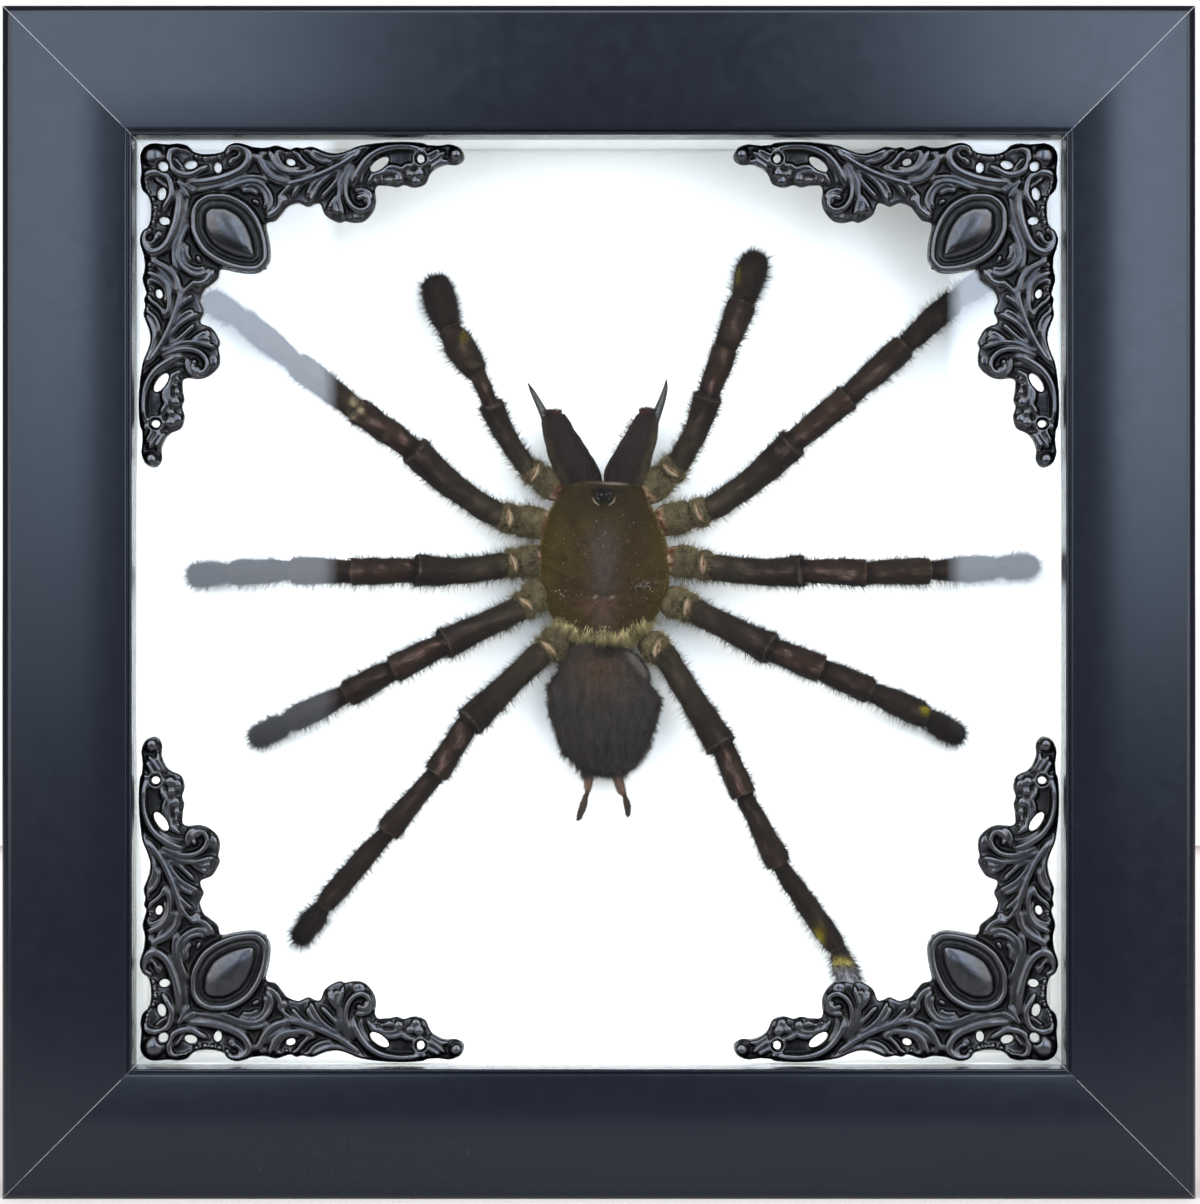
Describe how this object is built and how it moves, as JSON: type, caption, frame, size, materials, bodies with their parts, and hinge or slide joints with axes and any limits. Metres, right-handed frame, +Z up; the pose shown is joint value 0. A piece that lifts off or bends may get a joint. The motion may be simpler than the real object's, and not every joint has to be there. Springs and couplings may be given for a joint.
{
  "type": "framed tarantula specimen",
  "caption": "Large dried spider spread on a white board behind glass, in a deep mitred black frame with cast filigree corners.",
  "frame": {"origin": "middle of the footprint, on the surface the bottom rail stands on", "axes": "+Z up, the glass faces -Y, +X to the right seen from the front"},
  "size_m": [0.221, 0.038, 0.221],
  "materials": {
    "frame_black": "satin black lacquer",
    "glass": "clear polished",
    "white_board": "matt white",
    "backing": "brown hardboard",
    "fixings": "zinc plated",
    "ornament_metal": "antiqued gunmetal casting, polished on the ridges",
    "carapace": "olive brown, sparse short hair",
    "abdomen_hair": "charcoal velvet hair",
    "limb_hair": "dark brown, hairy"
  },
  "bodies": {
    "root": {"frame_rail_top": "frame_black", "frame_rail_bottom": "frame_black", "frame_rail_left": "frame_black", "frame_rail_right": "frame_black", "glass_pane": "glass", "spacer_top": "white_board", "spacer_bottom": "white_board", "spacer_left": "white_board", "spacer_right": "white_board", "mount_board": "white_board", "backing_panel": "backing", "retaining_tab_1": "fixings", "retaining_tab_2": "fixings", "retaining_tab_3": "fixings", "retaining_tab_4": "fixings", "retaining_tab_5": "fixings", "retaining_tab_6": "fixings", "retaining_tab_7": "fixings", "retaining_tab_8": "fixings", "hanger_plate": "fixings", "hanger_rivet_1": "fixings", "hanger_rivet_2": "fixings", "corner_ornament_top_left": "ornament_metal", "corner_ornament_top_right": "ornament_metal", "corner_ornament_bottom_left": "ornament_metal", "corner_ornament_bottom_right": "ornament_metal", "cephalothorax": "carapace", "abdomen": "abdomen_hair", "chelicera_left": "limb_hair", "chelicera_right": "limb_hair", "palp_left": "limb_hair", "palp_right": "limb_hair", "leg_1_left": "limb_hair", "leg_2_left": "limb_hair", "leg_3_left": "limb_hair", "leg_4_left": "limb_hair", "leg_1_right": "limb_hair", "leg_2_right": "limb_hair", "leg_3_right": "limb_hair", "leg_4_right": "limb_hair"}
  },
  "joints": []
}
